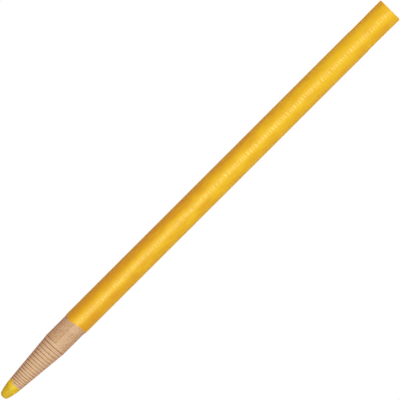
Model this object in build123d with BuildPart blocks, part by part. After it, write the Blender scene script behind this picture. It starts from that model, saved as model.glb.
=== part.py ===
from build123d import *
from math import cos, pi, radians, sin
import os

os.makedirs("parts", exist_ok=True)

# Driving sizes in millimetres and degrees. The marker stands on its flat end with its tip up,
# and the origin is the centre of the flat end.

# Whole marker
overall_length = 178.0
barrel_diameter = 8.8
wrapper_thickness = 0.125
end_round = 0.2

# Wax rod
core_diameter = 4.9
wax_showing = 5.4
nose_diameter = 3.1
nose_length = 0.9
flank_share = 0.35

# Paper roll. A band is the width of one turn that the cone lays bare: the turns are wound tighter
# near the rod, so the bands widen from the front of the cone to its shoulder.
paper_turns = 18.06
first_band = 0.75
last_band = 1.40
bare_length = 8.85
seam_angle = -64.5

# Turn edges on the cone. Each is a small step down to the turn below it.
first_edge_turn = 2
edge_ramp_share = 0.4
edge_depth_share = 0.9
end_gap_share = 0.05
points_per_turn = 12

# Ragged front edge of the wrapper, as shares of its depth, at even steps round the barrel
ragged_depth = 0.95
ragged_shares = (0.10, 0.17, 0.16, 0.55, 0.08, -0.10, -0.38, -0.34, -0.13,
                 0.05, 0.00, 0.20, 0.36, 0.05, -0.16, -0.30, -0.10, 0.15)

# Worked out from the driving sizes
core_radius = core_diameter / 2
barrel_radius = barrel_diameter / 2
roll_radius = barrel_radius - wrapper_thickness
nose_radius = nose_diameter / 2
front_z = overall_length - wax_showing
cone_length = paper_turns * (first_band + last_band) / 2
cone_slope = (roll_radius - core_radius) / cone_length
shoulder_z = front_z - cone_length
edge_z = shoulder_z - bare_length
outer_seam_angle = seam_angle - 360 * (paper_turns % 1)


def setback(turn):
    """Distance down the axis from the front of the paper to the edge of a turn."""
    return first_band * turn + (last_band - first_band) * turn**2 / (2 * paper_turns)


def turn_radius(turn):
    """Radius of the roll under a turn."""
    return core_radius + cone_slope * setback(turn)


def turn_edge(turn):
    """Point of the cone on the edge of a turn. The winding runs clockwise seen from the tip."""
    angle = radians(seam_angle) - 2 * pi * turn
    radius = turn_radius(turn)
    return Vector(radius * cos(angle), radius * sin(angle), front_z - setback(turn))


def wound_face(low_radius, high_radius, angle):
    """Section of one turn of a spiral: two half circles, and a step where the sheet starts or ends."""
    step = high_radius - low_radius
    with BuildSketch(Plane.XY.rotated((0, 0, angle))) as section:
        with BuildLine():
            near_half = ThreePointArc(
                (low_radius, 0), (-step / 4, -low_radius - step / 4), (-low_radius - step / 2, 0)
            )
            far_half = ThreePointArc(
                near_half @ 1, (step / 4, low_radius + step * 3 / 4), (high_radius, 0)
            )
            Line(far_half @ 1, near_half @ 0)
        make_face()
    return section.sketch


def ragged_ring(radius):
    """Closed wavy line at a radius, on which the wrapper's front edge lies."""
    step = 2 * pi / len(ragged_shares)
    with BuildLine() as ring:
        Spline(
            [
                (radius * cos(-step * place), radius * sin(-step * place), edge_z + share * ragged_depth)
                for place, share in enumerate(ragged_shares)
            ],
            periodic=True,
        )
    return ring.line.edge()


core_face = wound_face(core_radius, turn_radius(1), seam_angle)
roll_face = wound_face(turn_radius(paper_turns - 1), roll_radius, outer_seam_angle)

# Ground form: the outline that the wound rod is cut and ground to, from its flat end to its nose.
# The flank of the wax leaves the cone in line with it and bends in to the blunt nose.
flank_bend = (core_radius - cone_slope * flank_share * wax_showing, front_z + flank_share * wax_showing)
nose_start = (nose_radius, overall_length - nose_length)
nose_rise = nose_length / (nose_start[1] - flank_bend[1])
nose_corner = (nose_radius + (nose_radius - flank_bend[0]) * nose_rise, overall_length)
cone_foot = (barrel_radius, shoulder_z - (barrel_radius - roll_radius) / cone_slope)

with BuildPart() as ground_form:
    with BuildSketch(Plane.XZ):
        with BuildLine():
            Line((0, overall_length), (0, 0))
            Line((0, 0), (barrel_radius - end_round, 0))
            rim = JernArc((barrel_radius - end_round, 0), (1, 0), end_round, 90)
            Line(rim @ 1, cone_foot)
            Line(cone_foot, (core_radius, front_z))
            Bezier((core_radius, front_z), flank_bend, nose_start)
            Bezier(nose_start, nose_corner, (0, overall_length))
        make_face()
    revolve(axis=Axis.Z)

# Wax core: cast inside the roll, so it has the roll's inner step, and ground to a blunt nose
with BuildPart() as wax_core:
    extrude(core_face, amount=overall_length)
    add(ground_form.part, mode=Mode.INTERSECT)
wax_core.part.label = "wax_core"
export_step(wax_core.part, "parts/wax_core.step")

# Paper wrap: the wound roll, with a spiral of turn edges cut into its cone
edge_ramp = edge_ramp_share * first_band
edge_depth = edge_depth_share * (turn_radius(first_edge_turn + 1) - turn_radius(first_edge_turn))
last_edge_turn = paper_turns - 1 - end_gap_share
edge_steps = round((last_edge_turn - first_edge_turn) * points_per_turn)
edge_turns = [
    first_edge_turn + (last_edge_turn - first_edge_turn) * step / edge_steps for step in range(edge_steps + 1)
]

with BuildPart() as paper_wrap:
    extrude(roll_face, amount=overall_length)
    extrude(core_face, amount=overall_length, mode=Mode.SUBTRACT)
    add(ground_form.part, mode=Mode.INTERSECT)
    with BuildLine():
        edge_line = Spline([turn_edge(turn) for turn in edge_turns])
    start = edge_line @ 0
    with BuildSketch(Plane(start, x_dir=(start.X, start.Y, 0), z_dir=edge_line % 0)):
        with BuildLine():
            Polyline(
                (-edge_depth, 0),
                (edge_depth, 0),
                (edge_depth - 2 * cone_slope * edge_ramp, 2 * edge_ramp),
                close=True,
            )
        make_face()
    sweep(path=edge_line, is_frenet=True, mode=Mode.SUBTRACT)
paper_wrap.part.label = "paper_wrap"
export_step(paper_wrap.part, "parts/paper_wrap.step")

# Yellow wrapper: the coloured outer turn, smooth outside, filled in over the step of the roll's last turn
ragged_cut = Face.make_surface_from_curves(ragged_ring(core_radius), ragged_ring(2 * barrel_radius))

with BuildPart() as yellow_wrapper:
    with BuildSketch():
        Circle(barrel_radius)
        add(roll_face, mode=Mode.SUBTRACT)
    extrude(amount=shoulder_z)
    add(ground_form.part, mode=Mode.INTERSECT)
    split(bisect_by=ragged_cut, keep=Keep.BOTTOM)
yellow_wrapper.part.label = "yellow_wrapper"
export_step(yellow_wrapper.part, "parts/yellow_wrapper.step")
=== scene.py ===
"""Dress the paper-wrapped china marker, and light it as a plain studio picture."""

import logging
import math
from dataclasses import dataclass
from enum import Enum

import bmesh
import bpy
from mathutils import Matrix, Vector, noise


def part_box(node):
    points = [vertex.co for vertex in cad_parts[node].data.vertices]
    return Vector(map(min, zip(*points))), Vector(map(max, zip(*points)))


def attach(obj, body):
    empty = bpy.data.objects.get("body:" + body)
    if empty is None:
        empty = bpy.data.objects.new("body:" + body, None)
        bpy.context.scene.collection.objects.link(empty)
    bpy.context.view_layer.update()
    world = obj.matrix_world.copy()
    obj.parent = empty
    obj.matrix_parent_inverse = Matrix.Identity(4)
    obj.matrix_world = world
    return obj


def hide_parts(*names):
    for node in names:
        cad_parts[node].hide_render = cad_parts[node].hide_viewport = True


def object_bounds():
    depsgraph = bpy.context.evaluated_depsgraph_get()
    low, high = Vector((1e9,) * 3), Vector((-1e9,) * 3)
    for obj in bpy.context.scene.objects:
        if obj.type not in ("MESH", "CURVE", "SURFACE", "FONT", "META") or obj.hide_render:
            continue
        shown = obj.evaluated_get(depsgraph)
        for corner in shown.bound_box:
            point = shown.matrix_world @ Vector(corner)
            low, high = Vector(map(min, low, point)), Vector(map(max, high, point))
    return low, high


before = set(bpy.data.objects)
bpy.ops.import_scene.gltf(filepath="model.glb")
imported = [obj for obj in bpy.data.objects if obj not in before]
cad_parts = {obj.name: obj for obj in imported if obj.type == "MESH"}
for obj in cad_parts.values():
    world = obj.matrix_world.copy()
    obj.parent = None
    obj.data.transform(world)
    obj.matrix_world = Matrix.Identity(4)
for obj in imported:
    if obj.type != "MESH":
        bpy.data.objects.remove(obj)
CAD_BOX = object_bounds()

LOG = logging.getLogger("china_marker")
MM = 0.001
MERGE = 0.0005 * MM  # points nearer than this are one
BODY = "root"
TORN = "torn"  # attribute that marks the wrapper's torn edge
WHITE = (1.0, 1.0, 1.0, 1.0)

Socket = bpy.types.NodeSocket
Value = Socket | float
Inputs = dict[str | int, object]
Shade = tuple[int, int, int]
Colour = tuple[float, float, float, float]
Point = tuple[float, float]
Edges = list[bmesh.types.BMEdge]


class Node(Enum):
    """CAD nodes of the marker."""

    WAX = "wax_core"
    PAPER = "paper_wrap"
    WRAPPER = "yellow_wrapper"


class Slot(Enum):
    """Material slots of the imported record."""

    WAX = "wax"
    PAPER = "brown_paper"
    COAT = "yellow_coat"


class Gives(Enum):
    """What a lamp gives the marker: matte light alone, or its own reflection as well."""

    MATTE = False
    SHINE = True


class Sees(Enum):
    """What a ray that meets the backdrop was sent out for."""

    CAMERA = "Is Camera Ray"
    GLOSS = "Is Glossy Ray"
    GLASS = "Is Transmission Ray"


def linear(level: int) -> float:
    """Turn a screen's level, from 0 to 255, into linear light by the sRGB curve."""
    share = level / 255
    return share / 12.92 if share <= 0.04045 else ((share + 0.055) / 1.055) ** 2.4


def srgb(shade: Shade) -> Colour:
    """Turn a shade as a screen shows it into a linear colour with an alpha of 1."""
    red, green, blue = shade
    return (linear(red), linear(green), linear(blue), 1.0)


def ease(low: float, high: float, value: float) -> float:
    """Rise smoothly from 0 to 1 as a value goes from low to high."""
    share = min(max((value - low) / (high - low), 0.0), 1.0)
    return share * share * (3 - 2 * share)


@dataclass(frozen=True)
class Grain:
    """A noise pattern: its scale across and along the marker, per millimetre, and its detail."""

    across: float
    along: float
    detail: float = 2.0
    rough: float = 0.5


class NodeSheet:
    """Short hand for wiring the nodes of a material or a world."""

    def __init__(self, owner: bpy.types.Material | bpy.types.World) -> None:
        """Start with an empty node tree.

        Args:
            owner: Material or world whose nodes are wired.
        """
        owner.use_nodes = True
        self.owner = owner
        self.tree = owner.node_tree
        self.tree.nodes.clear()

    def add(self, kind: str, inputs: Inputs | None = None, **settings: object) -> bpy.types.Node:
        """Add a node.

        Args:
            kind: Blender's name for the node type.
            inputs: Values or sockets for its inputs, by name or number.
            **settings: Properties of the node itself.

        Returns:
            The new node.
        """
        node = self.tree.nodes.new(kind)
        for key, value in settings.items():
            setattr(node, key, value)
        for key, value in (inputs or {}).items():
            self.feed(node.inputs[key], value)
        return node

    def feed(self, socket: Socket, value: object) -> None:
        """Link a socket to another, or set its own value.

        Args:
            socket: Input to feed.
            value: Output to link it to, or a plain value.
        """
        if isinstance(value, Socket):
            self.tree.links.new(value, socket)
        else:
            socket.default_value = value

    def place(self) -> Socket:
        """Object coordinates in millimetres."""
        coordinates = self.add("ShaderNodeTexCoord").outputs["Object"]
        return self.scaled(coordinates, (1 / MM, 1 / MM, 1 / MM))

    def scaled(self, vector: Socket, factors: tuple[float, float, float]) -> Socket:
        """Stretch a vector by a factor along each axis."""
        inputs = {0: vector, 1: factors}
        return self.add("ShaderNodeVectorMath", inputs, operation="MULTIPLY").outputs[0]

    def split(self, vector: Socket) -> tuple[Socket, Socket, Socket]:
        """Take a vector apart into its three numbers."""
        return tuple(self.add("ShaderNodeSeparateXYZ", {0: vector}).outputs)

    def math(self, operation: str, *values: Value) -> Socket:
        """Do one sum on sockets or numbers."""
        return self.add("ShaderNodeMath", dict(enumerate(values)), operation=operation).outputs[0]

    def ramp(
        self, value: Value, low: float, high: float, start: float = 0.0, end: float = 1.0
    ) -> Socket:
        """Go smoothly from start to end as a value goes from low to high."""
        inputs = {0: value, 1: low, 2: high, 3: start, 4: end}
        return self.add("ShaderNodeMapRange", inputs, interpolation_type="SMOOTHSTEP").outputs[0]

    def between(self, value: Value, rise: Point, fall: Point) -> Socket:
        """Share of 1 from a rise to a fall, and 0 outside them."""
        low, high = fall
        return self.math("MULTIPLY", self.ramp(value, *rise), self.ramp(value, high, low))

    def noise(self, place: Socket, grain: Grain) -> Socket:
        """Lay soft noise over the marker.

        Args:
            place: Object coordinates in millimetres.
            grain: Pattern of the noise.

        Returns:
            Noise between 0 and 1.
        """
        vector = self.scaled(place, (grain.across, grain.across, grain.along))
        inputs = {"Vector": vector, "Scale": 1.0, "Detail": grain.detail, "Roughness": grain.rough}
        return self.add("ShaderNodeTexNoise", inputs).outputs[0]

    def wander(self, place: Socket, grain: Grain, reach: float, middle: float = 0.0) -> Socket:
        """Soft noise that goes by a reach to each side of a middle."""
        return self.math("MULTIPLY_ADD", self.noise(place, grain), 2 * reach, middle - reach)

    def mix(self, share: Value, first: Socket | Colour, second: Socket | Colour) -> Socket:
        """Mix two colours by the second one's share."""
        inputs = {0: share, 6: first, 7: second}
        return self.add("ShaderNodeMix", inputs, data_type="RGBA").outputs[2]

    def tint(self, colour: Socket | Colour, shade: Shade, share: Value) -> Socket:
        """Mix a share of a shade into a colour."""
        return self.mix(share, colour, srgb(shade))

    def bump(self, height: Socket, depth: float) -> Socket:
        """Raise the surface by a height between 0 and 1 times a depth."""
        inputs = {"Height": height, "Strength": 1.0, "Distance": depth}
        return self.add("ShaderNodeBump", inputs).outputs[0]

    def fading_gloss(self, roughness: Socket) -> Socket:
        """Let a gloss fade to matte at a slant, as it does on a finely rough skin."""
        aslant = self.add("ShaderNodeLayerWeight", {"Blend": 0.5}).outputs["Facing"]
        return self.math("MAXIMUM", roughness, self.ramp(aslant, 0.45, 0.85, start=0.3))

    def finish(self, **sockets: object) -> bpy.types.Material:
        """Close the sheet with a principled shader.

        Args:
            **sockets: Values or sockets for the shader's inputs, with _ for a space in a name.

        Returns:
            The finished material.
        """
        inputs = {name.replace("_", " "): value for name, value in sockets.items()}
        shader = self.add("ShaderNodeBsdfPrincipled", inputs)
        self.add("ShaderNodeOutputMaterial", {"Surface": shader.outputs[0]})
        return self.owner


@dataclass(frozen=True)
class Winding:
    """The spiral of paper that the cone lays bare, as the CAD model winds it.

    A turn is counted from the front of the paper, and runs clockwise seen from the tip.
    """

    front_z: float
    core_radius: float = 2.45 * MM
    roll_radius: float = 4.275 * MM
    turns: float = 18.06
    first_band: float = 0.75 * MM
    last_band: float = 1.40 * MM
    seam: float = math.radians(-64.5)

    @property
    def widening(self) -> float:
        """Growth of a band from one turn to the next."""
        return (self.last_band - self.first_band) / self.turns

    @property
    def slope(self) -> float:
        """Rise of the cone's radius along the axis."""
        length = self.turns * (self.first_band + self.last_band) / 2
        return (self.roll_radius - self.core_radius) / length

    @property
    def end_angle(self) -> float:
        """Angle at which the outermost turn ends."""
        return self.seam - math.tau * (self.turns % 1)

    def setback(self, turn: float) -> float:
        """Distance down the axis from the front of the paper to a turn's edge."""
        return self.first_band * turn + self.widening * turn**2 / 2

    def radius(self, turn: float) -> float:
        """Radius of the cone at a turn's edge."""
        return self.core_radius + self.slope * self.setback(turn)

    def phase(self, angle: float) -> float:
        """Share of a turn from the seam to an angle."""
        return (self.seam - angle) / math.tau % 1


@dataclass(frozen=True)
class WaxFinish:
    """Soft lemon-yellow wax, dull toward the nose, scuffed by the grinding and a little dirty.

    The lengths beside the patterns are in millimetres, as the nodes count them.
    """

    front_z: float
    clean: Shade = (238, 205, 36)
    dull: Shade = (222, 186, 40)
    worn: Shade = (206, 166, 36)
    dirt: Shade = (150, 116, 36)
    scores: Grain = Grain(0.8, 7.0, 4.0, 0.6)
    wear: Grain = Grain(1.3, 1.3, 3.0)
    specks: Grain = Grain(4.0, 4.0)
    border: Grain = Grain(0.9, 0.9, 3.0)
    border_reach: float = 0.8
    border_slant: float = 0.25
    clean_length: float = 1.75
    score_depth: float = 0.03 * MM

    def material(self) -> bpy.types.Material:
        """Wire the wax's nodes.

        Returns:
            The finished material.
        """
        sheet = NodeSheet(bpy.data.materials.new("marker_wax"))
        place = sheet.place()
        scores = sheet.noise(place, self.scores)
        wear = sheet.noise(place, self.wear)
        specks = sheet.noise(place, self.specks)
        colour = sheet.tint(srgb(self.clean), self.dull, self._used(sheet, place))
        colour = sheet.tint(colour, self.worn, sheet.ramp(wear, 0.5, 0.72, end=0.7))
        colour = sheet.tint(colour, self.worn, sheet.ramp(scores, 0.55, 0.72, end=0.4))
        colour = sheet.tint(colour, self.dirt, sheet.ramp(specks, 0.66, 0.76, end=0.5))
        return sheet.finish(
            Base_Color=colour,
            Roughness=sheet.fading_gloss(sheet.ramp(scores, 0.3, 0.7, 0.42, 0.6)),
            Specular_IOR_Level=0.28,
            Subsurface_Weight=0.08,
            Subsurface_Radius=(1.0, 0.6, 0.1),
            Subsurface_Scale=0.5 * MM,
            Normal=sheet.bump(scores, self.score_depth),
        )

    def _used(self, sheet: NodeSheet, place: Socket) -> Socket:
        """Find where the wax is used and dull.

        Args:
            sheet: Sheet to wire on.
            place: Object coordinates in millimetres.

        Returns:
            Share of the dull shade: none beside the paper, all of it past a slanting border.
        """
        x, _, z = sheet.split(place)
        past = sheet.math("SUBTRACT", z, self.front_z / MM + self.clean_length)
        past = sheet.math("MULTIPLY_ADD", x, self.border_slant, past)
        past = sheet.math("ADD", past, sheet.wander(place, self.border, self.border_reach))
        return sheet.ramp(past, -0.4, 0.5)


@dataclass(frozen=True)
class Smear:
    """A smear of wax that the grinding left on the paper, in millimetres."""

    place: tuple[float, float, float]
    reach: float


@dataclass(frozen=True)
class PaperFinish:
    """Bare brown paper, with a dark edge between the turns that is partly glue and partly painted
    shadow, fine fibres, and painted light and shade at the outer turn's step.

    The lengths beside the patterns are in millimetres, as the nodes count them.
    """

    winding: Winding
    pale: Shade = (234, 200, 162)
    brown: Shade = (222, 187, 149)
    shade: Shade = (196, 151, 106)
    fleck: Shade = (160, 112, 72)
    # Dark edge colour: partly glue, partly the painted shadow of each turn's step.
    glue_and_shadow: Shade = (120, 46, 4)
    smear: Shade = (192, 138, 44)
    smears: tuple[Smear, ...] = (
        Smear((-2.40, -1.28, 169.69), 0.62),
        Smear((-1.75, -3.33, 158.65), 0.42),
        Smear((-2.08, -3.30, 157.19), 0.5),
        Smear((2.47, -3.49, 153.03), 0.6),
    )
    lengthwise: Grain = Grain(5.6, 1.5, 4.0, 0.6)
    crosswise: Grain = Grain(1.5, 5.6, 4.0, 0.6)
    flecks: Grain = Grain(2.6, 1.7, 3.0)
    specks: Grain = Grain(1.7, 1.7, 1.0)
    smear_grain: Grain = Grain(2.0, 2.0)
    line_grain: Grain = Grain(1.4, 1.4, 3.0)
    line_breaks: Grain = Grain(0.9, 0.9)
    seam_breaks: Grain = Grain(0.8, 0.8)
    fibre_depth: float = 0.012 * MM
    line_width: float = 0.17
    line_core: float = 0.03
    line_reach: float = 0.05
    # Tilt that paints the lines darker on the +x side, as shade.
    line_shade_slant: float = 0.05
    wound_turns: tuple[Point, Point] = ((0.7, 0.95), (18.0, 18.1))
    deep_turns: tuple[Point, Point] = ((16.2, 16.8), (17.5, 17.75))
    band_turns: Point = (17.6, 18.0)
    seam_width: float = 0.12
    seam_core: float = 0.02
    crease_z: float = 147.72
    end_height: float = 0.1

    def material(self) -> bpy.types.Material:
        """Wire the paper's nodes.

        Returns:
            The finished material.
        """
        sheet = NodeSheet(bpy.data.materials.new("marker_brown_paper"))
        place = sheet.place()
        turn, off_edge = self._turns(sheet, place)
        lengthwise = sheet.noise(place, self.lengthwise)
        crosswise = sheet.noise(place, self.crosswise)
        flecks = sheet.noise(place, self.flecks)
        specks = sheet.noise(place, self.specks)
        colour = sheet.tint(srgb(self.brown), self.shade, sheet.ramp(lengthwise, 0.4, 0.64))
        colour = sheet.tint(colour, self.pale, sheet.ramp(crosswise, 0.46, 0.66, end=0.7))
        colour = sheet.tint(colour, self.fleck, sheet.ramp(flecks, 0.58, 0.7, end=0.5))
        colour = sheet.tint(colour, self.fleck, sheet.ramp(specks, 0.65, 0.72, end=0.75))
        colour = sheet.tint(colour, self.pale, sheet.ramp(turn, 18.2, 17.8, end=0.4))
        for smear in self.smears:
            colour = sheet.tint(colour, self.smear, self._smeared(sheet, place, smear))
        # Painted light and shade beside the outer turn's step.
        colour = self._seam_step_light_and_shade(sheet, place, turn, colour)
        # Dark edges between turns, partly glue and partly painted shadow.
        colour = sheet.tint(colour, self.glue_and_shadow, self._lines(sheet, place, turn, off_edge))
        fibres = sheet.math("ADD", lengthwise, crosswise)
        return sheet.finish(
            Base_Color=colour,
            Roughness=0.92,
            Specular_IOR_Level=0.08,
            Normal=sheet.bump(fibres, self.fibre_depth),
        )

    def _turns(self, sheet: NodeSheet, place: Socket) -> tuple[Socket, Socket]:
        """Follow the spiral over the cone and over the flat end.

        Args:
            sheet: Sheet to wire on.
            place: Object coordinates in millimetres.

        Returns:
            The turn at a point, and its distance in millimetres from the nearest turn's edge.
        """
        winding = self.winding
        first, widening = winding.first_band / MM, winding.widening / MM
        x, y, z = sheet.split(place)
        across = sheet.math("MULTIPLY_ADD", x, x, sheet.math("MULTIPLY", y, y))
        across = sheet.math("SUBTRACT", sheet.math("SQRT", across), winding.core_radius / MM)
        at_end = sheet.math("LESS_THAN", z, self.end_height)
        on_end = sheet.math("MULTIPLY", sheet.math("DIVIDE", across, winding.slope), at_end)
        on_cone = sheet.math("SUBTRACT", winding.front_z / MM, z)
        off_end = sheet.math("SUBTRACT", 1.0, at_end)
        setback = sheet.math("MULTIPLY_ADD", on_cone, off_end, on_end)
        setback = sheet.math("MAXIMUM", setback, 0.0)
        root = sheet.math("MULTIPLY_ADD", setback, 2 * widening, first**2)
        turn = sheet.math("SUBTRACT", sheet.math("SQRT", root), first)
        turn = sheet.math("DIVIDE", turn, widening)
        angle = sheet.math("SUBTRACT", winding.seam, sheet.math("ARCTAN2", y, x))
        phase = sheet.math("FRACT", sheet.math("DIVIDE", angle, math.tau))
        past = sheet.math("ADD", sheet.math("SUBTRACT", turn, phase), 0.5)
        share = sheet.math("SUBTRACT", sheet.math("FRACT", past), 0.5)
        band = sheet.math("MULTIPLY_ADD", turn, widening, first)
        return turn, sheet.math("ABSOLUTE", sheet.math("MULTIPLY", share, band))

    def _lines(self, sheet: NodeSheet, place: Socket, turn: Socket, off_edge: Socket) -> Socket:
        """Darken the edges between the turns, partly glue and partly painted shadow, unevenly,
        more on the +x side as painted shade, and most of all the last one before the shoulder.

        Args:
            sheet: Sheet to wire on.
            place: Object coordinates in millimetres.
            turn: Turn at a point.
            off_edge: Distance of a point from the nearest turn's edge.

        Returns:
            Share of the dark edge colour.
        """
        wander = sheet.wander(place, self.line_grain, self.line_reach)
        line = sheet.ramp(sheet.math("ADD", off_edge, wander), self.line_width, self.line_core)
        x = sheet.split(place)[0]
        breaks = sheet.noise(place, self.line_breaks)
        # Painted shade: the slant makes the lines darker on the +x side.
        breaks_and_side_shade = sheet.math("MULTIPLY_ADD", x, self.line_shade_slant, breaks)
        broken = sheet.ramp(breaks_and_side_shade, 0.3, 0.65, 0.52, 0.9)
        strength = sheet.math("MAXIMUM", broken, sheet.between(turn, *self.deep_turns))
        wound = sheet.between(turn, *self.wound_turns)
        return sheet.math("MULTIPLY", sheet.math("MULTIPLY", line, strength), wound)

    def _seam_step_light_and_shade(self, sheet: NodeSheet, place: Socket, turn: Socket, colour: Socket) -> Socket:
        """Show on the bare band where the outermost turn of the roll ends, with painted light and
        shade beside its step.

        Args:
            sheet: Sheet to wire on.
            place: Object coordinates in millimetres.
            turn: Turn at a point.
            colour: Colour of the paper so far.

        Returns:
            The colour with a paler lap that is painted light, a darker side that is painted shade,
            a faint dark line between them, partly the turn's edge and partly its painted shadow,
            and a crease across the lap.
        """
        x, y, z = sheet.split(place)
        cosine, sine = math.cos(self.winding.end_angle), math.sin(self.winding.end_angle)
        aside = sheet.math("MULTIPLY_ADD", y, cosine, sheet.math("MULTIPLY", x, -sine))
        outward = sheet.math("MULTIPLY_ADD", x, cosine, sheet.math("MULTIPLY", y, sine))
        on_band = sheet.ramp(turn, *self.band_turns)
        shown = sheet.math("MULTIPLY", sheet.ramp(outward, 0.0, 1.0), on_band)
        # Painted light: the lap is paler beside the step, fading away from it.
        fading = sheet.ramp(aside, -3.0, -0.8, end=0.28)
        painted_lit_side = sheet.math("MULTIPLY", sheet.ramp(aside, 0.05, -0.1), fading)
        # Painted shade: the paper on the other side of the step is darker, fading away from it.
        fading = sheet.ramp(aside, 3.4, 0.8, end=0.18)
        painted_shaded_side = sheet.math("MULTIPLY", sheet.ramp(aside, -0.05, 0.1), fading)
        off_seam = sheet.math("ABSOLUTE", aside)
        broken = sheet.ramp(sheet.noise(place, self.seam_breaks), 0.36, 0.6, 0.3, 0.85)
        # A faint dark line on the step, partly the turn's edge and partly its painted shadow.
        line = sheet.ramp(off_seam, self.seam_width, self.seam_core)
        line = sheet.math("MULTIPLY", line, broken)
        off_crease = sheet.math("ABSOLUTE", sheet.math("SUBTRACT", z, self.crease_z))
        crease = sheet.ramp(off_crease, self.seam_width, self.seam_core, end=1.6)
        crease = sheet.math("MULTIPLY", crease, painted_lit_side)
        marks = ((painted_lit_side, self.pale), (painted_shaded_side, self.shade), (line, self.fleck), (crease, self.fleck))
        for share, shade in marks:
            colour = sheet.tint(colour, shade, sheet.math("MULTIPLY", share, shown))
        return colour

    def _smeared(self, sheet: NodeSheet, place: Socket, smear: Smear) -> Socket:
        """Find where a smear lies.

        Args:
            sheet: Sheet to wire on.
            place: Object coordinates in millimetres.
            smear: The smear.

        Returns:
            Share of the smear's shade.
        """
        inputs = {0: place, 1: smear.place}
        offset = sheet.add("ShaderNodeVectorMath", inputs, operation="DISTANCE").outputs[1]
        patches = sheet.noise(place, self.smear_grain)
        offset = sheet.math("MULTIPLY_ADD", patches, smear.reach, offset)
        return sheet.ramp(offset, smear.reach * 1.3, smear.reach * 0.7, end=0.6)


@dataclass(frozen=True)
class CoatFinish:
    """Warm yellow coated paper, half glossy, with a fine ripple, grip soil mixed with painted side
    shade, and a torn edge.

    The lengths beside the patterns are in millimetres, as the nodes count them.
    """

    front_z: float
    main: Shade = (247, 198, 34)
    warm: Shade = (241, 186, 30)
    # Darker orange for grip soil, and for painted shade on the front's flanks.
    soil_and_side_shade: Shade = (227, 161, 30)
    bare: Shade = (230, 192, 140)
    shine: Colour = (1.0, 0.97, 0.7, 1.0)
    clouds: Grain = Grain(0.45, 0.1575, 3.0)
    soil_and_shade_grain: Grain = Grain(0.6, 0.24, 3.0)
    soil_and_shade_reach: float = 0.3
    soil_and_shade_slant: float = 10.0
    soil_and_shade_start: float = 30.0
    ring_wander: Grain = Grain(0.2, 0.4)
    ring_patches: Grain = Grain(0.35, 0.5, 3.0, 0.6)
    ring_grain: Grain = Grain(0.9, 2.0)
    grain_reach: float = 0.35
    ring_gap: float = 1.12
    ring_drift: float = 2.0
    ring_depth: float = 0.009 * MM

    def material(self) -> bpy.types.Material:
        """Wire the coat's nodes.

        Returns:
            The finished material.
        """
        sheet = NodeSheet(bpy.data.materials.new("marker_yellow_coat"))
        place = sheet.place()
        clouds = sheet.noise(place, self.clouds)
        torn = sheet.add("ShaderNodeAttribute", attribute_name=TORN).outputs["Fac"]
        colour = sheet.tint(srgb(self.main), self.warm, sheet.ramp(clouds, 0.4, 0.7))
        # Painted shade: the front's flanks get a darker orange, mixed with grip soil toward the
        # front.
        colour = sheet.tint(colour, self.soil_and_side_shade, self._soil_and_side_shade(sheet, place))
        colour = sheet.tint(colour, self.bare, sheet.ramp(torn, 0.35, 0.9, end=0.8))
        ripple = self._rings(sheet, place)
        return sheet.finish(
            Base_Color=colour,
            Roughness=sheet.fading_gloss(sheet.ramp(ripple, 0.2, 0.8, 0.62, 0.27)),
            Specular_IOR_Level=0.4,
            Specular_Tint=self.shine,
            Normal=sheet.bump(ripple, self.ring_depth),
        )

    def _soil_and_side_shade(self, sheet: NodeSheet, place: Socket) -> Socket:
        """Find where the coat gets its grip soil and its painted side shade.

        Args:
            sheet: Sheet to wire on.
            place: Object coordinates in millimetres.

        Returns:
            Share of the darker orange: grip soil toward the front, and painted shade in two
                stripes on the front's flanks, one longer than the other.
        """
        x, y, z = sheet.split(place)
        # The slant reaches further back on the +x side, painting that side darker as shade.
        forward = sheet.math("MULTIPLY_ADD", x, self.soil_and_shade_slant, z)
        forward = sheet.ramp(forward, self.soil_and_shade_start, self.front_z / MM, end=0.36)
        patches = sheet.wander(place, self.soil_and_shade_grain, self.soil_and_shade_reach, 0.5)
        soil_and_shade = sheet.ramp(sheet.math("ADD", patches, forward), 0.5, 0.92, end=0.9)
        # Painted shade: full share in two stripes on the front's flanks, about halfway round to
        # each side, and a quarter elsewhere.
        shaded_flanks = sheet.math("MULTIPLY", sheet.math("ABSOLUTE", x), y)
        return sheet.math("MULTIPLY", soil_and_shade, sheet.ramp(shaded_flanks, -3.0, -9.0, start=0.25))

    def _rings(self, sheet: NodeSheet, place: Socket) -> Socket:
        """Lay fine rings over a grain.

        Args:
            sheet: Sheet to wire on.
            place: Object coordinates in millimetres.

        Returns:
            Height of the ripple: uneven, broken in patches and faint toward the front.
        """
        z = sheet.split(place)[2]
        wander = sheet.noise(place, self.ring_wander)
        wander = sheet.math("MULTIPLY", wander, self.ring_drift * math.tau)
        waves = sheet.math("MULTIPLY_ADD", z, math.tau / self.ring_gap, wander)
        rings = sheet.math("SINE", waves)
        patches = sheet.ramp(sheet.noise(place, self.ring_patches), 0.34, 0.56, start=0.3)
        height = sheet.math("MULTIPLY", sheet.ramp(z, 10.0, 110.0, 0.42, 0.06), patches)
        grain = sheet.wander(place, self.ring_grain, self.grain_reach, 0.5)
        return sheet.math("MULTIPLY_ADD", rings, height, grain)


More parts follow.
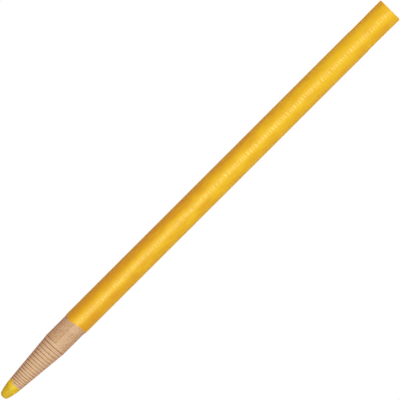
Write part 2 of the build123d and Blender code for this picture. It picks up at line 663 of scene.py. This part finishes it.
def close_mesh(
    bm: bmesh.types.BMesh, name: str, crease: float, finish: bpy.types.Material
) -> bpy.types.Object:
    """Merge, orient and store a mesh as one object at the origin.

    Args:
        bm: Mesh in the frame's own place, freed here.
        name: Name of the piece.
        crease: Angle in degrees above which an edge stays sharp.
        finish: Material of the whole piece.

    Returns:
        The new object.
    """
    bmesh.ops.remove_doubles(bm, verts=bm.verts, dist=MERGE)
    bmesh.ops.recalc_face_normals(bm, faces=bm.faces)
    mesh = bpy.data.meshes.new(name)
    bm.to_mesh(mesh)
    bm.free()
    mesh.shade_smooth()
    mesh.set_sharp_from_angle(angle=math.radians(crease))
    mesh.materials.append(finish)
    piece = bpy.data.objects.new(name, mesh)
    bpy.context.scene.collection.objects.link(piece)
    return piece


def join_frame(piece: bpy.types.Object, node: Node) -> bpy.types.Object:
    """Put a piece in the frame in place of its CAD node.

    Args:
        piece: The finished piece.
        node: CAD node that it stands for.

    Returns:
        The same piece.
    """
    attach(piece, BODY)
    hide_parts(node.value)
    LOG.info("%s stands for %s with %d faces", piece.name, node.value, len(piece.data.polygons))
    return piece


def spun(profile: list[Point], closed: bool, segments: int) -> bmesh.types.BMesh:
    """Turn an outline about the marker's axis.

    Args:
        profile: Radius and height of each point.
        closed: Whether the last point joins the first.
        segments: Steps of the full turn.

    Returns:
        The new mesh.
    """
    bm = bmesh.new()
    points = [bm.verts.new((radius, 0, height)) for radius, height in profile]
    for first, second in zip(points, points[1:] + points[:1] if closed else points[1:]):
        bm.edges.new((first, second))
    bmesh.ops.spin(
        bm, geom=bm.verts[:] + bm.edges[:], cent=(0, 0, 0), axis=(0, 0, 1), dvec=(0, 0, 0),
        angle=math.tau, steps=segments, use_merge=True, use_duplicate=False,
    )
    bmesh.ops.remove_doubles(bm, verts=bm.verts, dist=MERGE)
    return bm


def curve(points: tuple[Point, Point, Point], steps: int) -> list[Point]:
    """Follow a quadratic curve.

    Args:
        points: Its start, the corner that it bends toward, and its end.
        steps: Number of points to take.

    Returns:
        Points of the curve, without its start.
    """
    (ax, ay), (bx, by), (cx, cy) = points
    found = []
    for step in range(1, steps + 1):
        t = step / steps
        found.append((
            ax * (1 - t) ** 2 + 2 * bx * t * (1 - t) + cx * t**2,
            ay * (1 - t) ** 2 + 2 * by * t * (1 - t) + cy * t**2,
        ))
    return found


@dataclass
class WaxCore:
    """The wax rod, from the flat end to its blunt nose."""

    winding: Winding
    tip_z: float
    nose_radius: float = 1.55 * MM
    nose_length: float = 0.9 * MM
    flank_share: float = 0.35
    rows: int = 14
    steps_under: int = 4
    segments: int = 96
    crease: float = 40.0
    scuff: float = 0.035 * MM
    scuff_size: float = 1.1 * MM
    scuff_rise: float = 1.2 * MM

    def outline(self) -> list[Point]:
        """Draw the rod's outline.

        Returns:
            Radius and height down the rod, from the nose to the centre of the flat end.
        """
        winding = self.winding
        flank_length = self.flank_share * (self.tip_z - winding.front_z)
        bend_z = winding.front_z + flank_length
        bend = (winding.core_radius - winding.slope * flank_length, bend_z)
        start = (self.nose_radius, self.tip_z - self.nose_length)
        rise = self.nose_length / (start[1] - bend_z)
        corner = (self.nose_radius + (self.nose_radius - bend[0]) * rise, self.tip_z)
        tip, front = (0.0, self.tip_z), (winding.core_radius, winding.front_z)
        turns = [step / self.steps_under for step in range(1, self.steps_under + 1)]
        under = [(winding.radius(turn), winding.front_z - winding.setback(turn)) for turn in turns]
        nose = [tip] + curve((tip, corner, start), self.rows)
        flank = curve((start, bend, front), self.rows)
        return nose + flank + under + [(winding.radius(1), 0.0), (0.0, 0.0)]

    def build(self) -> bpy.types.Object:
        """Turn the rod, fit it to the paper's inner turn and scuff its nose.

        Returns:
            The finished piece.
        """
        bm = spun(self.outline(), False, self.segments)
        for vert in bm.verts:
            self._fit(vert)
        finish = WaxFinish(self.winding.front_z).material()
        piece = close_mesh(bm, "marker_wax_core", self.crease, finish)
        return join_frame(piece, Node.WAX)

    def _fit(self, vert: bmesh.types.BMVert) -> None:
        """Keep a point inside the paper, or scuff it where the wax shows.

        Args:
            vert: Point of the turned rod.
        """
        across = vert.co.xy.length
        if across == 0:
            return
        front_z = self.winding.front_z
        angle = math.atan2(vert.co.y, vert.co.x)
        limit = self.winding.radius(self.winding.phase(angle))
        shown = ease(front_z, front_z + self.scuff_rise, vert.co.z)
        dent = noise.noise(vert.co / self.scuff_size) * self.scuff * shown
        vert.co.xy *= (min(across, limit) + dent) / across


@dataclass
class PaperRoll:
    """The wound paper: a cone of turn edges, a bare band, and the roll under the wrapper.

    The cone is first wound as a plain screw: height counts turns down from 0, and the radius is
    1, less screw_drop times the drop that band_outline gives at a share of the band.
    """

    winding: Winding
    wrapper_z: float
    segments: int = 160
    crease: float = 35.0
    band_outline: tuple[Point, ...] = (
        (0.0, 1.0), (0.012, 0.35), (0.04, 0.06), (0.12, 0.0), (0.5, 0.0),
        (0.68, 0.1), (0.82, 0.38), (0.93, 0.78), (1.0, 1.0),
    )
    screw_drop: float = 0.1
    screw_merge: float = 0.002
    rounding: float = 0.001  # of a turn
    front_turns: float = 1.5  # open edges before this are the front
    last_turns: float = 1.01  # no turn lies over the bands this near the end
    flat_share: float = 0.2  # where such a band stays flat from
    edge_drop: float = 0.075 * MM
    drop_change: float = 0.4
    fray: float = 0.045 * MM
    fray_turns: Point = (0.3, 1.0)
    fray_scale: Point = (9.0, 3.7)
    ring_gap: float = 0.5 * MM
    ring_overlap: float = 6.0 * MM
    bore_turn: float = 1.5  # the bore's wall ends level with this turn's edge

    def build(self) -> bpy.types.Object:
        """Wind the cone, draw the roll down to the flat end and close its bore.

        Returns:
            The finished piece.
        """
        bm = bmesh.new()
        strip_steps = round((self.winding.turns - 1) * self.segments)
        self._wind(bm, *divmod(strip_steps, self.segments))
        edges = [edge for edge in bm.edges if edge.is_boundary]
        front = [edge for edge in edges if max(self._turns(edge)) < self.front_turns]
        back = [edge for edge in edges if min(self._turns(edge)) > self.front_turns]
        for vert in bm.verts:
            self._lay(vert, strip_steps / self.segments)
        bore = self._draw_down(bm, back)
        bmesh.ops.bridge_loops(bm, edges=front + bore)
        finish = PaperFinish(self.winding).material()
        piece = close_mesh(bm, "marker_paper_roll", self.crease, finish)
        return join_frame(piece, Node.PAPER)

    @staticmethod
    def _turns(edge: bmesh.types.BMEdge) -> list[float]:
        """Turns of an edge's ends on the plain screw."""
        return [-vert.co.z for vert in edge.verts]

    def _wind(self, bm: bmesh.types.BMesh, whole_turns: int, last_steps: int) -> None:
        """Wind one band as a plain screw.

        Args:
            bm: Empty mesh to wind it in.
            whole_turns: Number of whole turns.
            last_steps: Steps of the part of a turn that follows them.
        """
        self._coil(bm, 0, self.segments)
        first_turn = bm.verts[:] + bm.edges[:] + bm.faces[:]
        for turn in range(1, whole_turns):
            copy = bmesh.ops.duplicate(bm, geom=first_turn)["geom"]
            points = [item for item in copy if isinstance(item, bmesh.types.BMVert)]
            bmesh.ops.translate(bm, vec=(0, 0, -turn), verts=points)
        self._coil(bm, whole_turns, last_steps)
        bmesh.ops.remove_doubles(bm, verts=bm.verts, dist=self.screw_merge)

    def _coil(self, bm: bmesh.types.BMesh, turn: int, steps: int) -> None:
        """Spin the band's outline from the seam on.

        Args:
            bm: Mesh to add it to.
            turn: Whole turns before it.
            steps: Steps of the turn that it goes on for.
        """
        seam = Vector((math.cos(self.winding.seam), math.sin(self.winding.seam), 0))
        points = [
            bm.verts.new(seam * (1 - drop * self.screw_drop) - Vector((0, 0, turn + share)))
            for share, drop in self.band_outline
        ]
        edges = [bm.edges.new(ends) for ends in zip(points, points[1:])]
        bmesh.ops.spin(
            bm, geom=points + edges, cent=(0, 0, 0), axis=(0, 0, 1),
            dvec=(0, 0, -1 / self.segments), angle=-math.tau * steps / self.segments,
            steps=steps, use_merge=False, use_duplicate=False,
        )

    def _lay(self, vert: bmesh.types.BMVert, strip_turns: float) -> None:
        """Move a point of the plain screw to its place on the cone.

        Args:
            vert: Point of the screw.
            strip_turns: Turns that the screw has in all.
        """
        winding = self.winding
        turn = -vert.co.z
        angle = math.atan2(vert.co.y, vert.co.x)
        drop = (1 - vert.co.xy.length) / self.screw_drop
        share = (turn - winding.phase(angle) + self.rounding) % 1
        last = turn - share > strip_turns - self.last_turns and share > self.flat_share
        on_shoulder = turn > strip_turns - self.rounding and vert.is_boundary
        if last or on_shoulder:
            drop = 0.0
        around, along = self.fray_scale
        direction = Vector((math.cos(angle), math.sin(angle), 0))
        grain = noise.noise(direction * around + Vector((0, 0, turn * along)))
        frayed = 0.0 if on_shoulder else grain * self.fray * ease(*self.fray_turns, turn)
        across = winding.radius(turn) - drop * self.edge_drop * (1 + self.drop_change * grain)
        height = winding.front_z - winding.setback(turn) + frayed
        vert.co = direction * across + Vector((0, 0, height))

    def _draw_down(self, bm: bmesh.types.BMesh, loop: Edges) -> Edges:
        """Draw the shoulder down the barrel, across the flat end and up the bore.

        Args:
            bm: Mesh of the cone.
            loop: Edges of the shoulder.

        Returns:
            Edges of the bore's front end.
        """
        winding = self.winding
        shoulder_z = min(vert.co.z for edge in loop for vert in edge.verts)
        rings = math.ceil((shoulder_z - self.wrapper_z + self.ring_overlap) / self.ring_gap)
        for ring in range(1, rings + 1):
            loop = self._drawn(bm, loop, shoulder_z - ring * self.ring_gap)
        loop = self._drawn(bm, loop, 0.0)
        points, loop = self._extruded(bm, loop)
        for vert in points:
            angle = math.atan2(vert.co.y, vert.co.x)
            vert.co.xy = vert.co.xy.normalized() * winding.radius(winding.phase(angle))
        return self._drawn(bm, loop, winding.front_z - winding.setback(self.bore_turn))

    def _drawn(self, bm: bmesh.types.BMesh, loop: Edges, height: float) -> Edges:
        """Draw a loop of edges straight to a height.

        Args:
            bm: Mesh that they are in.
            loop: Edges to draw from.
            height: Height to draw them to.

        Returns:
            Edges of the loop at that height.
        """
        points, edges = self._extruded(bm, loop)
        for vert in points:
            vert.co.z = height
        return edges

    @staticmethod
    def _extruded(bm: bmesh.types.BMesh, loop: Edges) -> tuple[list[bmesh.types.BMVert], Edges]:
        """Extrude a loop of edges in place.

        Args:
            bm: Mesh that they are in.
            loop: Edges to extrude.

        Returns:
            Points and edges of the new loop.
        """
        made = bmesh.ops.extrude_edge_only(bm, edges=loop)["geom"]
        points = [item for item in made if isinstance(item, bmesh.types.BMVert)]
        edges = [item for item in made if isinstance(item, bmesh.types.BMEdge)]
        return points, [edge for edge in edges if edge.is_boundary]


@dataclass
class YellowWrapper:
    """The coloured outer turn, with a ragged front edge.

    The lip's points are the depth from the outside and the distance from the front edge.
    """

    winding: Winding
    radius: float
    segments: int = 180
    crease: float = 50.0
    rim_round: float = 0.2 * MM
    rim_steps: int = 5
    clearance: float = 0.008 * MM
    edge_setback: float = 33.65 * MM
    lip: tuple[Point, ...] = ((0.0, 0.12 * MM), (0.02 * MM, 0.04 * MM), (0.055 * MM, 0.0))
    lip_fall: float = 0.01 * MM
    ragged_depth: float = 0.95 * MM
    ragged_shares: tuple[float, ...] = (
        0.10, 0.17, 0.16, 0.55, 0.08, -0.10, -0.38, -0.34, -0.13,
        0.05, 0.00, 0.20, 0.36, 0.05, -0.16, -0.30, -0.10, 0.15,
    )
    tear: float = 0.3 * MM
    tear_waves: tuple[Point, ...] = ((6.0, 0.5), (14.0, 0.6), (31.0, 0.35))
    tear_reach: Point = (4.0 * MM, 0.2 * MM)
    torn_width: Point = (0.12 * MM, 0.03 * MM)
    ripple: float = 0.012 * MM
    ripple_scale: float = 1.6
    ripple_gap: float = 1.15 * MM
    ring_gap: float = 0.32 * MM

    def build(self) -> bpy.types.Object:
        """Turn the sleeve, tear its front edge and ripple its coat.

        Returns:
            The finished piece.
        """
        edge_z = CAD_BOX[1].z - self.edge_setback
        bm = spun(self.outline(edge_z), True, self.segments)
        torn = bm.verts.layers.float.new(TORN)
        low, high = self.torn_width
        for vert in bm.verts:
            vert[torn] = ease(edge_z - low, edge_z - high, vert.co.z)
            self._tear(vert, edge_z)
        finish = CoatFinish(edge_z).material()
        piece = close_mesh(bm, "marker_yellow_wrapper", self.crease, finish)
        return join_frame(piece, Node.WRAPPER)

    def outline(self, edge_z: float) -> list[Point]:
        """Draw the outline of the sleeve's wall.

        Args:
            edge_z: Height of the front edge.

        Returns:
            Radius and height of each point, up the outside and over the lip to the bore.
        """
        inner = self.winding.radius(self.winding.turns - 1) + self.clearance
        start, corner = (self.radius - self.rim_round, 0.0), (self.radius, 0.0)
        rim = curve((start, corner, (self.radius, self.rim_round)), self.rim_steps)[1:]
        length = edge_z - self.rim_round
        rings = math.ceil(length / self.ring_gap)
        heights = [self.rim_round + length * ring / rings for ring in range(1, rings)]
        wall = [(self.radius, height) for height in heights]
        lip = [(self.radius - depth, edge_z - setback) for depth, setback in self.lip]
        lip.append((inner, edge_z - self.lip_fall))
        return [(inner, self.rim_round / 2), start] + rim + wall + lip

    def ragged(self, angle: float) -> float:
        """Follow the ragged edge through the CAD model's own shares.

        Args:
            angle: Angle round the barrel.

        Returns:
            Offset of the edge there.
        """
        count = len(self.ragged_shares)
        place = -angle / math.tau % 1 * count
        index = int(place)
        t = place - index
        a, b, c, d = (self.ragged_shares[(index + step) % count] for step in (-1, 0, 1, 2))
        slope = (c - a) / 2
        bend = a - 2.5 * b + 2 * c - d / 2
        twist = 1.5 * (b - c) + (d - a) / 2
        return (b + slope * t + bend * t**2 + twist * t**3) * self.ragged_depth

    def _bore(self, angle: float) -> float:
        """Keep the bore clear of the roll, on both sides of the step of its last turn.

        Args:
            angle: Angle round the barrel.

        Returns:
            Radius of the bore there.
        """
        winding = self.winding
        first = winding.turns - 1
        reach = math.tau / self.segments
        phases = [winding.phase(angle + aside) for aside in (-reach, 0.0, reach)]
        last = max(first + (phase - first) % 1 for phase in phases)
        return winding.radius(last) + self.clearance

    def _tear(self, vert: bmesh.types.BMVert, edge_z: float) -> None:
        """Fit a point to the roll in the bore, tear it at the front, or ripple it on the wall.

        Args:
            vert: Point of the turned sleeve.
            edge_z: Height of the front edge.
        """
        angle = math.atan2(vert.co.y, vert.co.x)
        direction = Vector((math.cos(angle), math.sin(angle), 0))
        low, high = self.tear_reach
        near_edge = ease(edge_z - low, edge_z - high, vert.co.z)
        torn = sum(noise.noise(direction * pitch) * share for pitch, share in self.tear_waves)
        across = max(vert.co.xy.length, self._bore(angle))
        outside = across > self.winding.roll_radius + 2 * self.clearance
        if outside and vert.co.z > self.rim_round:
            along = Vector((0, 0, vert.co.z / self.ripple_gap))
            across += noise.noise(direction * self.ripple_scale + along) * self.ripple
        vert.co.z += (self.ragged(angle) + torn * self.tear) * near_edge
        vert.co.xy = direction.xy * across


@dataclass(frozen=True)
class Softbox:
    """A soft square light that faces the marker."""

    name: str
    azimuth: float
    height: float
    size: Point
    power: float
    colour: tuple[float, float, float]
    gives: Gives
    distance: float = 2.7

    def hang(self, target: Vector) -> None:
        """Hang the light and aim it.

        Args:
            target: Point that it faces.
        """
        turn = math.radians(self.azimuth)
        place = Vector((math.sin(turn), -math.cos(turn), 0)) * self.distance
        place.z = self.height
        facing = (target - place).to_track_quat("-Z", "Y").to_matrix().to_4x4()
        lamp = bpy.data.lights.new(self.name, "AREA")
        lamp.shape = "RECTANGLE"
        lamp.size, lamp.size_y = self.size
        lamp.energy = self.power
        lamp.color = self.colour
        holder = bpy.data.objects.new(self.name, lamp)
        holder.matrix_world = Matrix.Translation(place) @ facing
        holder.visible_camera = False
        holder.visible_glossy = self.gives.value
        bpy.context.scene.collection.objects.link(holder)


@dataclass(frozen=True)
class Studio:
    """Pale floor, soft lights, white surroundings and the photograph's camera."""

    boxes: tuple[Softbox, ...] = (
        Softbox("key_light", -7.5, 0.45, (1.6, 0.9), 64.0, (0.78, 0.98, 1.0), Gives.SHINE),
        Softbox("back_right_light", 148.0, 0.45, (0.8, 0.9), 38.0, (0.88, 0.97, 1.0), Gives.MATTE),
        Softbox("back_left_light", -148.0, 0.45, (0.8, 0.9), 38.0, (0.88, 0.97, 1.0), Gives.MATTE),
    )
    ambient: Colour = (0.25, 0.055, 0.03, 1.0)
    floor_colour: Colour = (0.9, 0.9, 0.9, 1.0)
    floor_radius: float = 1.6
    floor_segments: int = 96
    glow_reach: Point = (0.16, 0.96)
    floor_glow: Point = (0.75, 1.0)
    camera_distance: float = 1.6
    camera_drop: float = math.radians(2.1)
    camera_roll: float = math.radians(-134.96)
    camera_clip: Point = (0.05, 20.0)
    sensor_width: float = 36.0
    aim: tuple[float, float, float] = (-0.025 * MM, 0.0, 87.25 * MM)
    frame_width: float = 129.93 * MM

    def build(self) -> None:
        """Set up everything round the marker."""
        target = Vector(self.aim)
        self._world()
        self._floor()
        for box in self.boxes:
            box.hang(target)
        self._camera(target)
        bpy.context.scene.view_settings.view_transform = "Standard"

    @staticmethod
    def _seen(sheet: NodeSheet) -> Socket:
        """Pick out the rays that should see a white backdrop.

        Args:
            sheet: Sheet to wire on.

        Returns:
            1 on those rays, and 0 on the rest.
        """
        path = sheet.add("ShaderNodeLightPath")
        camera, gloss, glass = (path.outputs[ray.value] for ray in Sees)
        return sheet.math("MAXIMUM", sheet.math("MAXIMUM", camera, gloss), glass)

    def _world(self) -> None:
        """White surroundings to look at, and a dim warm light from all round."""
        sheet = NodeSheet(bpy.data.worlds.new("studio"))
        colour = sheet.mix(self._seen(sheet), self.ambient, WHITE)
        glow = sheet.add("ShaderNodeBackground", {"Color": colour})
        sheet.add("ShaderNodeOutputWorld", {"Surface": glow.outputs[0]})
        bpy.context.scene.world = sheet.owner

    def _floor(self) -> None:
        """A pale round floor that keeps the marker's shadow and fades into the white."""
        bm = bmesh.new()
        bmesh.ops.create_circle(
            bm, cap_ends=True, radius=self.floor_radius, segments=self.floor_segments
        )
        mesh = bpy.data.meshes.new("floor")
        bm.to_mesh(mesh)
        bm.free()
        mesh.materials.append(self._pale())
        floor = bpy.data.objects.new("floor", mesh)
        bpy.context.scene.collection.objects.link(floor)

    def _pale(self) -> bpy.types.Material:
        """Wire the floor's nodes, with a glow that rises to full white away from the marker.

        Returns:
            The finished material.
        """
        sheet = NodeSheet(bpy.data.materials.new("pale_floor"))
        away = sheet.add("ShaderNodeVectorMath", {0: sheet.place()}, operation="LENGTH").outputs[1]
        near, far = self.glow_reach
        glow = sheet.ramp(away, near / MM, far / MM, *self.floor_glow)
        seen = sheet.math("MULTIPLY", glow, self._seen(sheet))
        pale = sheet.add("ShaderNodeBsdfDiffuse", {"Color": self.floor_colour})
        light = sheet.add("ShaderNodeEmission", {"Strength": seen})
        both = sheet.add("ShaderNodeAddShader", {0: pale.outputs[0], 1: light.outputs[0]})
        sheet.add("ShaderNodeOutputMaterial", {"Surface": both.outputs[0]})
        return sheet.owner

    def _camera(self, target: Vector) -> None:
        """Put a long lens a little below the middle, rolled to point the tip down to the left.

        Args:
            target: Point that it looks at.
        """
        back = Vector((0, -math.cos(self.camera_drop), -math.sin(self.camera_drop)))
        right = Vector((1, 0, 0))
        level = Matrix((right, back.cross(right), back)).transposed()
        turned = level @ Matrix.Rotation(self.camera_roll, 3, "Z")
        place = target + back * self.camera_distance
        lens = bpy.data.cameras.new("camera")
        lens.sensor_width = self.sensor_width
        lens.lens = self.sensor_width * self.camera_distance / self.frame_width
        lens.clip_start, lens.clip_end = self.camera_clip
        camera = bpy.data.objects.new("camera", lens)
        camera.matrix_world = Matrix.Translation(place) @ turned.to_4x4()
        bpy.context.scene.collection.objects.link(camera)
        bpy.context.scene.camera = camera


def note_sizes() -> None:
    """Update the view layer, so that the scene's boxes are current."""
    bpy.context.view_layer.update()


def main() -> None:
    """Build the marker's pieces in order, then the studio round them."""
    logging.basicConfig(level=logging.INFO, format="%(message)s")
    winding = Winding(front_z=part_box(Node.PAPER.value)[1].z)
    wrapper_low, wrapper_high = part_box(Node.WRAPPER.value)
    WaxCore(winding, tip_z=CAD_BOX[1].z).build()
    PaperRoll(winding, wrapper_z=wrapper_high.z).build()
    YellowWrapper(winding, radius=(wrapper_high.x - wrapper_low.x) / 2).build()
    Studio().build()
    note_sizes()


if __name__ == "__main__":
    main()
